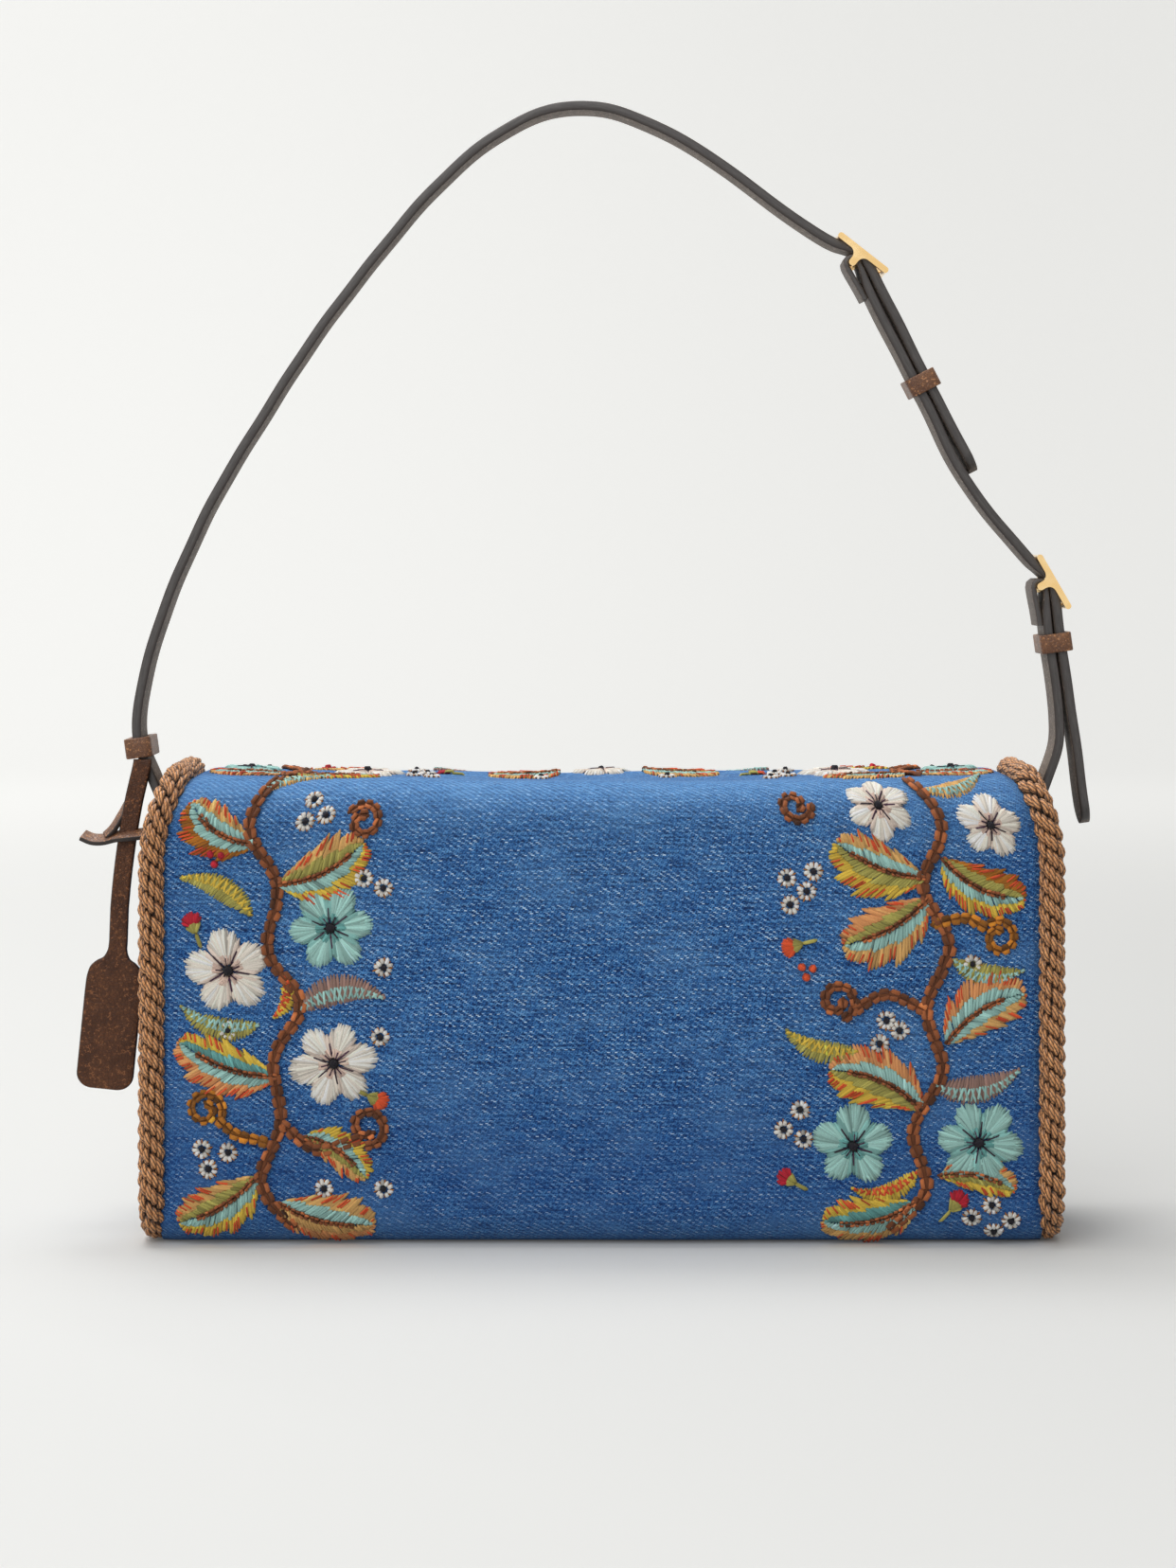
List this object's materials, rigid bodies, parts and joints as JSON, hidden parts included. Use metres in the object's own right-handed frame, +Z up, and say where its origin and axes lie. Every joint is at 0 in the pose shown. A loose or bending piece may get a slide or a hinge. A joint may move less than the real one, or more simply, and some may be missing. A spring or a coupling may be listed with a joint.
{
  "type": "shoulder bag",
  "caption": "Flap shoulder bag of denim with rope-trimmed edges, side gussets, a magnetic snap and a leather strap in lengths joined by buckles.",
  "frame": {"origin": "centre of the base's flat underside", "axes": "+Z up, +X to the wearer's right as seen from the back, +Y out of the flap side; the pictured back faces -Y"},
  "size_m": [0.314, 0.0723, 0.3503],
  "materials": {
    "denim": "matte",
    "rope": "matte",
    "lining": "matte",
    "board": "matte",
    "strap_leather": "satin",
    "tag_leather": "matte",
    "gold": "polished",
    "magnet": "matte"
  },
  "bodies": {
    "shell": {"back_panel": "denim", "base_panel": "denim", "front_panel": "denim", "gusset_left": "denim", "gusset_right": "denim", "rope_left": "rope", "rope_right": "rope", "lining": "lining", "inner_pocket": "lining", "base_board": "board", "snap_socket": "gold", "snap_magnet": "magnet", "rivet_left": "gold", "rivet_right": "gold", "rivet_washer_left": "gold", "rivet_washer_right": "gold"},
    "flap": {"flap_panel": "denim", "flap_lining": "tag_leather", "rope_flap": "rope", "snap_stud": "gold"},
    "strap": {"strap_long": "strap_leather", "strap_middle": "strap_leather", "strap_short": "strap_leather", "buckle_upper": "gold", "buckle_lower": "gold", "tag_loop": "tag_leather"},
    "prong_up": {"prong_upper": "gold"},
    "prong_low": {"prong_lower": "gold"},
    "keeper_up": {"keeper_upper": "tag_leather"},
    "keeper_low": {"keeper_lower": "tag_leather"},
    "tag": {"tag": "tag_leather"}
  },
  "joints": [
    {"name": "flap_fold", "type": "hinge", "parent": "shell", "child": "flap", "pos_m": [0, -0.0259, 0.1379], "axis": [1, 0, 0], "range_deg": [0, 40]},
    {"name": "strap_swing", "type": "hinge", "parent": "shell", "child": "strap", "pos_m": [0, 0, 0.118], "axis": [1, 0, 0], "range_deg": [0, 35]},
    {"name": "prong_upper_lift", "type": "hinge", "parent": "strap", "child": "prong_up", "pos_m": [0.07763, 0, 0.30026], "axis": [0, -1, 0], "range_deg": [0, 15]},
    {"name": "prong_lower_lift", "type": "hinge", "parent": "strap", "child": "prong_low", "pos_m": [0.13575, 0, 0.2], "axis": [0, -1, 0], "range_deg": [0, 15]},
    {"name": "keeper_upper_slide", "type": "slide", "parent": "strap", "child": "keeper_up", "axis": [0.4571, 0, -0.8894], "range_m": [-0.0025, 0.0025]},
    {"name": "keeper_lower_slide", "type": "slide", "parent": "strap", "child": "keeper_low", "axis": [0.1392, 0, -0.9903], "range_m": [-0.0025, 0.0025]},
    {"name": "tag_swing", "type": "hinge", "parent": "strap", "child": "tag", "pos_m": [-0.14321, -0.009, 0.14581], "axis": [1, 0, 0], "range_deg": [-45, 0]}
  ]
}
